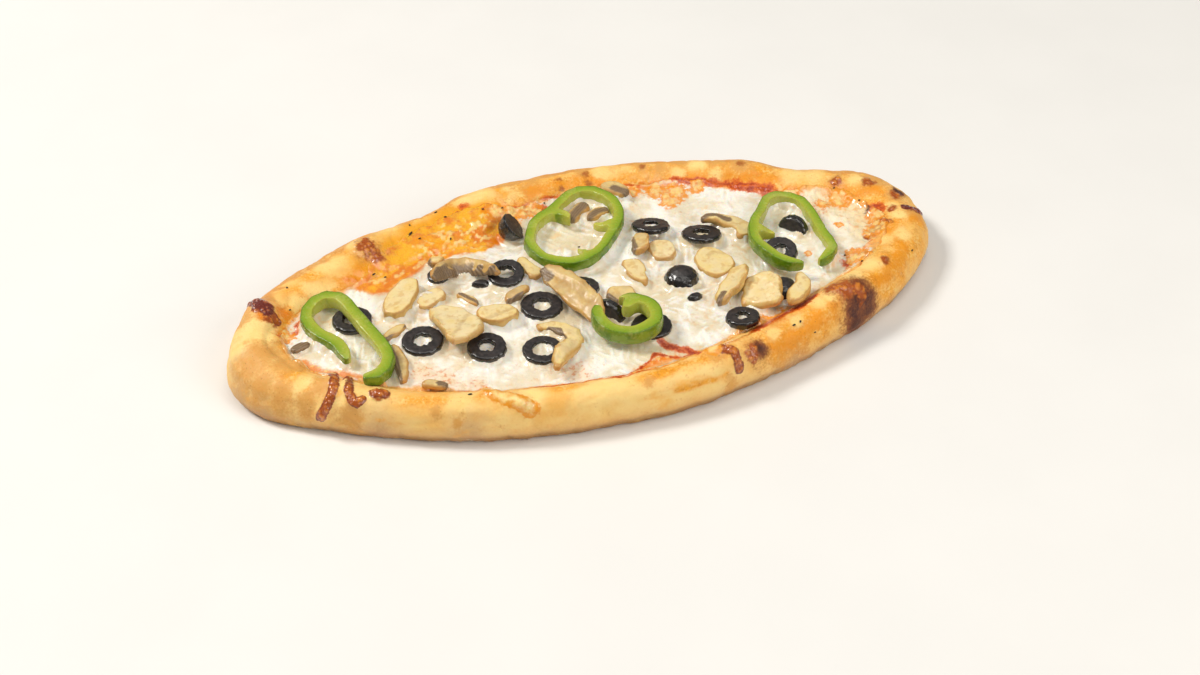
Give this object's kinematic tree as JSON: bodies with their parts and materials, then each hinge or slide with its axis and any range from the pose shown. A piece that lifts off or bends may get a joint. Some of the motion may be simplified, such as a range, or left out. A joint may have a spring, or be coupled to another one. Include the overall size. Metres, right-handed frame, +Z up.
{
  "type": "peinirli",
  "caption": "Boat-shaped cheese bread with a thick rolled edge, melted cheese, black olive rings, green pepper rings and mushroom slices.",
  "frame": {"origin": "middle of the bread's box, on the surface it rests on", "axes": "+X along the boat, +Y across it, +Z up"},
  "size_m": [0.2894, 0.144, 0.0238],
  "materials": {
    "crust": "baked dough, golden with toasted patches",
    "cheese": "melted white cheese, oily",
    "olive": "black olive, glossy skin and satin cut faces",
    "pepper": "green pepper, glossy skin and moist flesh",
    "mushroom": "cooked mushroom, satin"
  },
  "bodies": {
    "root": {"cheese": "cheese", "crust": "crust", "mushroom_01": "mushroom", "mushroom_02": "mushroom", "mushroom_03": "mushroom", "mushroom_04": "mushroom", "mushroom_05": "mushroom", "mushroom_06": "mushroom", "mushroom_07": "mushroom", "mushroom_08": "mushroom", "mushroom_09": "mushroom", "mushroom_10": "mushroom", "mushroom_11": "mushroom", "mushroom_12": "mushroom", "mushroom_13": "mushroom", "mushroom_14": "mushroom", "mushroom_15": "mushroom", "mushroom_16": "mushroom", "mushroom_17": "mushroom", "mushroom_18": "mushroom", "mushroom_19": "mushroom", "mushroom_20": "mushroom", "mushroom_21": "mushroom", "mushroom_22": "mushroom", "mushroom_23": "mushroom", "mushroom_24": "mushroom", "mushroom_25": "mushroom", "mushroom_26": "mushroom", "mushroom_27": "mushroom", "olive_01": "olive", "olive_02": "olive", "olive_03": "olive", "olive_04": "olive", "olive_05": "olive", "olive_06": "olive", "olive_07": "olive", "olive_08": "olive", "olive_09": "olive", "olive_10": "olive", "olive_11": "olive", "olive_12": "olive", "olive_13": "olive", "olive_14": "olive", "olive_15": "olive", "olive_16": "olive", "olive_17": "olive", "olive_18": "olive", "olive_19": "olive", "olive_20": "olive", "pepper_1": "pepper", "pepper_2": "pepper", "pepper_3": "pepper", "pepper_4": "pepper"}
  },
  "joints": []
}
